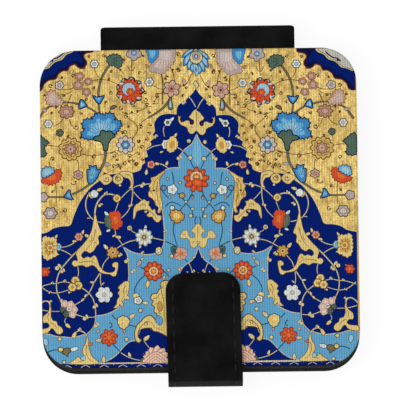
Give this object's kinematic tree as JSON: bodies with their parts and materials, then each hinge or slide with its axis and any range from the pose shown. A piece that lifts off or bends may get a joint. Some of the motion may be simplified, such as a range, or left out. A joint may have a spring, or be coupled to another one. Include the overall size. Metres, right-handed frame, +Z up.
{
  "type": "pocket mirror",
  "caption": "Folding pocket mirror: two thin covers with a mirror inside each, a leather hinge band and a magnetic strap, with a printed illumination on the front.",
  "frame": {"origin": "middle of the back cover's outer face, on which the closed mirror lies", "axes": "+X to the right of the printed front, +Y towards the hinge band, +Z up out of the printed front"},
  "size_m": [0.08, 0.0906, 0.0141],
  "materials": {
    "printed_canvas": "matte printed canvas",
    "black_suede": "matte suede",
    "lining_suede": "matte suede",
    "grey_board": "uncoated grey board",
    "white_tape": "double-sided tissue tape",
    "mirror_glass": "silvered glass",
    "keeper_steel": "plain steel",
    "magnet_nickel": "nickel plate",
    "thread": "waxed thread"
  },
  "bodies": {
    "back_cover": {"back_skin": "black_suede", "back_filler_card": "grey_board", "back_board": "grey_board", "back_edge_wrap": "black_suede", "back_mirror_tape": "white_tape", "back_mirror_glass": "mirror_glass", "back_mirror_surround": "grey_board", "back_lining": "lining_suede", "hinge_back_leather": "black_suede", "hinge_back_lining": "lining_suede", "strap_root_leather": "black_suede", "strap_root_lining": "lining_suede"},
    "hinge_spine": {"hinge_spine_leather": "black_suede", "hinge_spine_lining": "lining_suede"},
    "front_cover": {"front_print_panel": "printed_canvas", "front_filler_card": "grey_board", "front_keeper_plate": "keeper_steel", "front_board": "grey_board", "front_edge_wrap": "black_suede", "front_mirror_tape": "white_tape", "front_mirror_glass": "mirror_glass", "front_mirror_surround": "grey_board", "front_lining": "lining_suede", "hinge_front_leather": "black_suede", "hinge_front_lining": "lining_suede"},
    "strap_bridge": {"strap_bridge_leather": "black_suede", "strap_bridge_lining": "lining_suede"},
    "strap_flap": {"strap_flap_leather": "black_suede", "strap_flap_stiffener": "grey_board", "strap_flap_lining": "lining_suede", "strap_magnet": "magnet_nickel", "strap_thread_left": "thread", "strap_thread_right": "thread"}
  },
  "joints": [
    {"name": "spine_fold", "type": "hinge", "parent": "back_cover", "child": "hinge_spine", "pos_m": [0, 0.04573, 0.00137], "axis": [-1, 0, 0], "range_deg": [0, 90]},
    {"name": "cover_fold", "type": "hinge", "parent": "hinge_spine", "child": "front_cover", "pos_m": [0, 0.04573, 0.01043], "axis": [-1, 0, 0], "range_deg": [0, 90]},
    {"name": "strap_lower_fold", "type": "hinge", "parent": "back_cover", "child": "strap_bridge", "pos_m": [0.0009, -0.04367, 0.00137], "axis": [1, 0, 0], "range_deg": [0, 90]},
    {"name": "strap_upper_fold", "type": "hinge", "parent": "strap_bridge", "child": "strap_flap", "pos_m": [0.0009, -0.04367, 0.01273], "axis": [1, 0, 0], "range_deg": [0, 90]}
  ]
}
